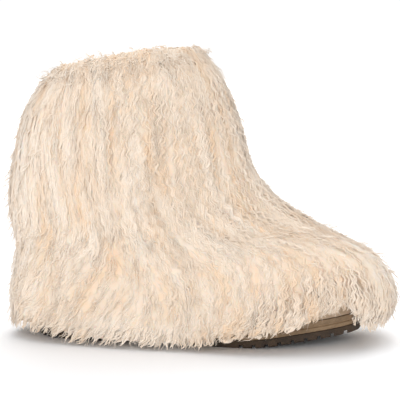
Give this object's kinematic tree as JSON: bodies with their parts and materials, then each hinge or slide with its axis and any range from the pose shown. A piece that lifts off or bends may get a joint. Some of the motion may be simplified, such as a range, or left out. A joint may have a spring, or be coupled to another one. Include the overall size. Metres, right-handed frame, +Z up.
{
  "type": "shearling bootie",
  "caption": "Right ankle bootie with a deep curly long-haired coat over its shaft, a rounded toe and a low wedge-shaped sole with a cross-grooved tread, worn on the foot for warmth.",
  "frame": {"origin": "on the floor under the middle of the heel, at the mount heel_rest", "axes": "+X along the sole towards the toe, +Z up, -Y to the outer side of the foot"},
  "size_m": [0.3158, 0.1432, 0.2373],
  "materials": {
    "outsole": "matt, worn",
    "midsole": "matt",
    "insole": "short pile",
    "upper": "suede",
    "fleece": "long curly pile"
  },
  "bodies": {
    "root": {"outsole": "outsole", "midsole": "midsole", "insole": "insole", "upper": "upper", "fleece": "fleece"}
  },
  "joints": []
}
